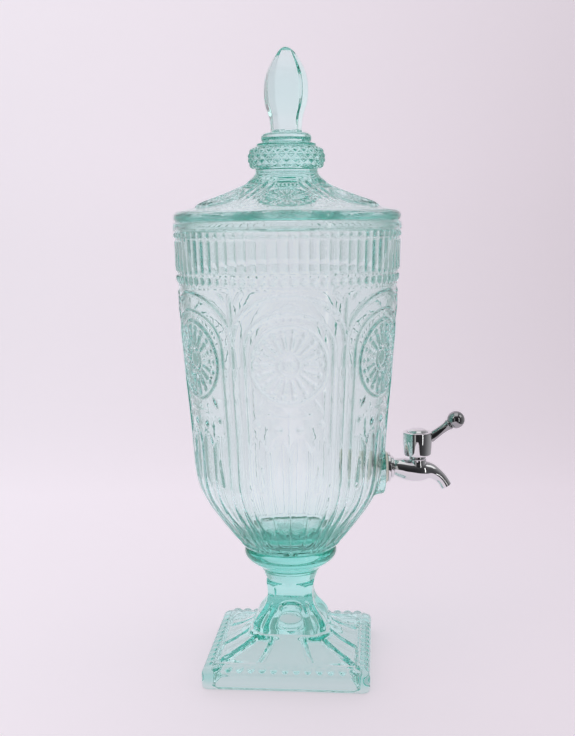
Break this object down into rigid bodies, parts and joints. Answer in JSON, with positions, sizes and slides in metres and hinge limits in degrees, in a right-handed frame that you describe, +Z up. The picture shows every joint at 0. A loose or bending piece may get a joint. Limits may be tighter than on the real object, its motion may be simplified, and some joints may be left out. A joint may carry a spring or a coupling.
{
  "type": "glass liquid dispenser with tap",
  "caption": "Footed pressed-glass dispenser jar with a lift-off lid, flame finial and a chromed quarter-turn tap with ball lever.",
  "frame": {"origin": "on the floor under the middle of the whole bounding box, 24.5 mm towards the tap from the jar's axis", "axes": "+Z up; +X from the jar's axis towards the tap; -Y is the front seen in the picture"},
  "size_m": [0.2182, 0.1692, 0.4646],
  "materials": {
    "aqua_glass": "clear pale aqua pressed glass",
    "chrome": "polished",
    "steel": "satin",
    "silicone": "matte cream silicone",
    "black_rubber": "matte",
    "white_plastic": "matte"
  },
  "bodies": {
    "jar": {"glass_bowl": "aqua_glass", "pedestal_foot": "aqua_glass", "tap_body": "chrome", "outer_washer": "silicone", "inner_washer": "silicone", "backing_washer": "steel", "lock_nut": "white_plastic", "gland_nut": "chrome"},
    "lid": {"lid": "aqua_glass"},
    "handle": {"valve_plug": "chrome", "plug_o_ring_lower": "black_rubber", "plug_o_ring_upper": "black_rubber", "handle_hub": "chrome", "lever_arm": "chrome", "lever_ball": "chrome", "hub_cap": "chrome", "hub_screw": "steel"}
  },
  "joints": [
    {"name": "lid_lift", "type": "slide", "parent": "jar", "child": "lid", "axis": [0, 0, 1], "range_m": [0, 0.12]},
    {"name": "tap_turn", "type": "hinge", "parent": "jar", "child": "handle", "pos_m": [0.0732, 0, 0.17], "axis": [0, 0, 1], "range_deg": [-90, 90]}
  ]
}
